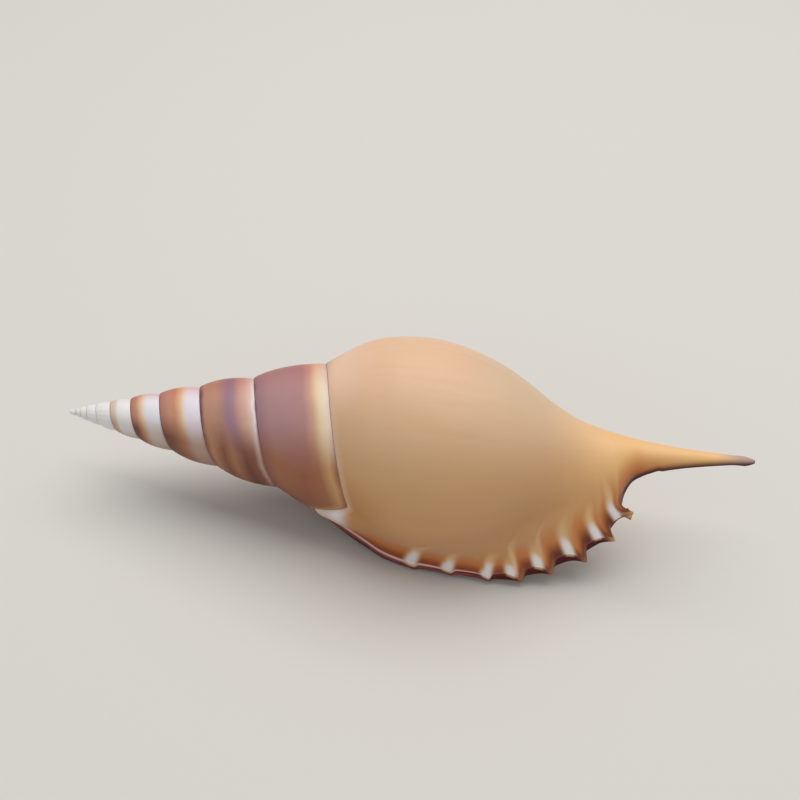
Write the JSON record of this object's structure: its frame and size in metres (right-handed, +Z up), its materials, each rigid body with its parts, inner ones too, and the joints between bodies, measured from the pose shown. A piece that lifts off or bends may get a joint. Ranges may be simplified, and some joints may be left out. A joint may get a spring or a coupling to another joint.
{
  "type": "conch shell",
  "caption": "slender spindle-shaped sea shell with a tall banded spire, a smooth swollen body whorl, a flared ribbed outer lip and a long thin canal, lying mouth down",
  "frame": {"origin": "middle of the bounding box in X and Y, on the surface that the shell lies on", "axes": "+X runs from the apex to the tip of the canal, +Z is up, -Y is the side of the outer lip"},
  "size_m": [0.1498, 0.0448, 0.0437],
  "materials": {
    "shell": "smooth satin natural shell, peach and tan with brown, mauve and white bands on the spire and a red-brown lip edge"
  },
  "bodies": {
    "root": {"shell": "shell"}
  },
  "joints": []
}
